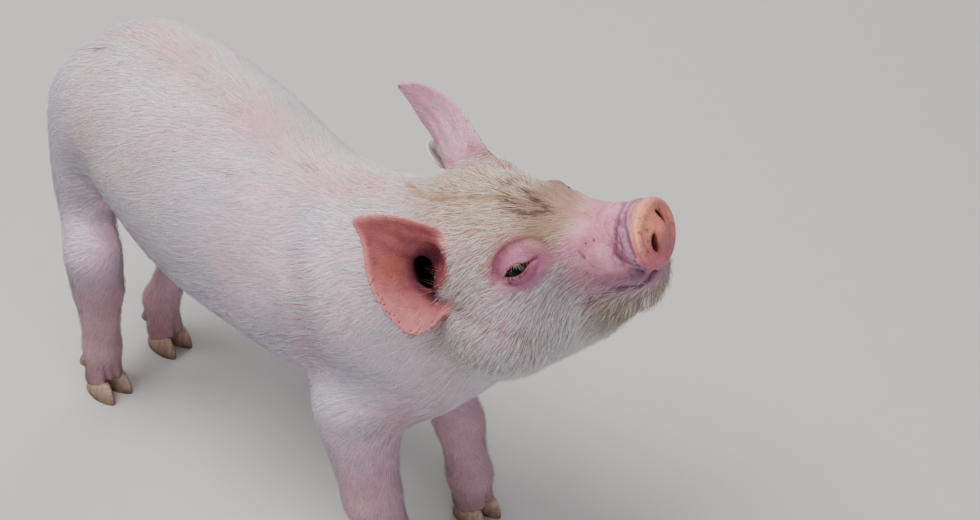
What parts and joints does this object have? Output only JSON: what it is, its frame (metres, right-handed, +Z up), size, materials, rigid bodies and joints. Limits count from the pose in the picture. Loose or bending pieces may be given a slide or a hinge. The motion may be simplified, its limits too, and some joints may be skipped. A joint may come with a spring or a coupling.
{
  "type": "young pig",
  "caption": "Still life-size young white pig standing square with its head raised and tilted, ears up, a blank round tag on one ear.",
  "frame": {"origin": "on the ground under the middle of the animal's box", "axes": "+X towards the head, +Y to the animal's left, +Z up"},
  "size_m": [0.4388, 0.1426, 0.3254],
  "materials": {
    "hide": "pale pink skin under short white hair",
    "snout": "bare damp pink skin with brown specks",
    "ear": "thin pink skin with fine white hair",
    "hoof": "dull worn horn",
    "eye": "wet and dark",
    "tag": "cream moulded plastic, blank"
  },
  "bodies": {
    "root": {"shoulders": "hide", "barrel": "hide", "hindquarters": "hide", "neck": "hide", "head": "hide", "lower_jaw": "hide", "snout": "snout", "tail": "hide", "ear_left": "ear", "ear_right": "ear", "ear_tag": "tag", "eye_left": "eye", "eye_right": "eye", "forearm_left": "hide", "forearm_right": "hide", "forefoot_left": "hide", "forefoot_right": "hide", "thigh_left": "hide", "thigh_right": "hide", "hindfoot_left": "hide", "hindfoot_right": "hide", "claw_fore_left_inner": "hoof", "claw_fore_left_outer": "hoof", "claw_fore_right_inner": "hoof", "claw_fore_right_outer": "hoof", "claw_hind_left_inner": "hoof", "claw_hind_left_outer": "hoof", "claw_hind_right_inner": "hoof", "claw_hind_right_outer": "hoof", "dewclaw_fore_left_inner": "hoof", "dewclaw_fore_left_outer": "hoof", "dewclaw_fore_right_inner": "hoof", "dewclaw_fore_right_outer": "hoof", "dewclaw_hind_left_inner": "hoof", "dewclaw_hind_left_outer": "hoof", "dewclaw_hind_right_inner": "hoof", "dewclaw_hind_right_outer": "hoof"}
  },
  "joints": []
}
